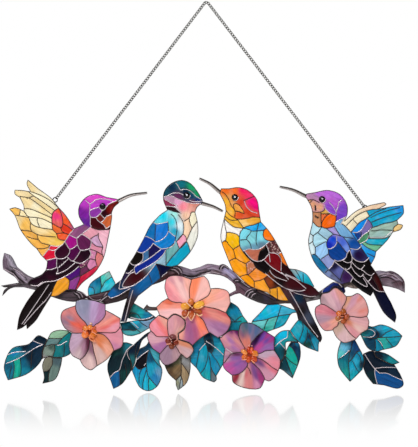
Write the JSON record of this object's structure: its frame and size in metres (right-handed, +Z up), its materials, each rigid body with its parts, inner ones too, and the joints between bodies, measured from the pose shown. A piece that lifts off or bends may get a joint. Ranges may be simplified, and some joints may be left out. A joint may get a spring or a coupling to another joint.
{
  "type": "hanging metal bird ornament",
  "caption": "Flat hanging ornament of birds on a flowering branch, in leaded coloured glass with a metal branch, on a fine chain.",
  "frame": {"origin": "the middle of the chain's top link, where the ornament hangs on a hook", "axes": "+X to the right as seen from the front, +Z up, the front faces -Y"},
  "size_m": [0.3007, 0.0072, 0.2912],
  "materials": {
    "glass_magenta": "gloss",
    "glass_blue": "gloss",
    "glass_orange": "gloss",
    "glass_violet": "gloss",
    "glass_pink": "gloss",
    "glass_purple": "gloss",
    "glass_teal": "gloss",
    "glass_navy": "gloss",
    "glass_olive": "gloss",
    "glass_amber": "gloss",
    "glass_black": "gloss",
    "branch_metal": "patinated",
    "beak_metal": "satin",
    "wire_metal": "satin",
    "chain_steel": "polished"
  },
  "bodies": {
    "root": {"beak_centre_left": "beak_metal", "beak_centre_right": "beak_metal", "beak_left": "beak_metal", "beak_right": "beak_metal", "bird_centre_left": "glass_blue", "bird_centre_right": "glass_orange", "bird_left": "glass_magenta", "bird_right": "glass_violet", "branch": "branch_metal", "chain_left": "chain_steel", "chain_right": "chain_steel", "chain_top_link": "chain_steel", "eye_centre_left": "glass_black", "eye_centre_right": "glass_black", "eye_left": "glass_black", "eye_right": "glass_black", "flower_big": "glass_pink", "flower_left": "glass_pink", "flower_purple": "glass_purple", "flower_right": "glass_pink", "flower_small": "glass_pink", "leaf_01": "glass_teal", "leaf_02": "glass_teal", "leaf_03": "glass_olive", "leaf_04": "glass_teal", "leaf_05": "glass_teal", "leaf_06": "glass_teal", "leaf_07": "glass_navy", "leaf_08": "glass_navy", "leaf_09": "glass_teal", "leaf_10": "glass_olive", "leaf_11": "glass_teal", "leaf_12": "glass_teal", "leaf_13": "glass_teal", "leaf_14": "glass_teal", "leaf_15": "glass_teal", "leaf_16": "glass_teal", "leaf_17": "glass_teal", "leaf_18": "glass_teal", "leaf_19": "glass_teal", "leaf_20": "glass_teal", "leaf_21": "glass_navy", "leaf_over_branch": "glass_navy", "ring_left": "wire_metal", "ring_right": "wire_metal", "stamens_big": "glass_amber", "stamens_left": "glass_amber", "stamens_purple": "glass_amber", "stamens_right": "glass_amber", "stamens_small": "glass_amber"}
  },
  "joints": []
}
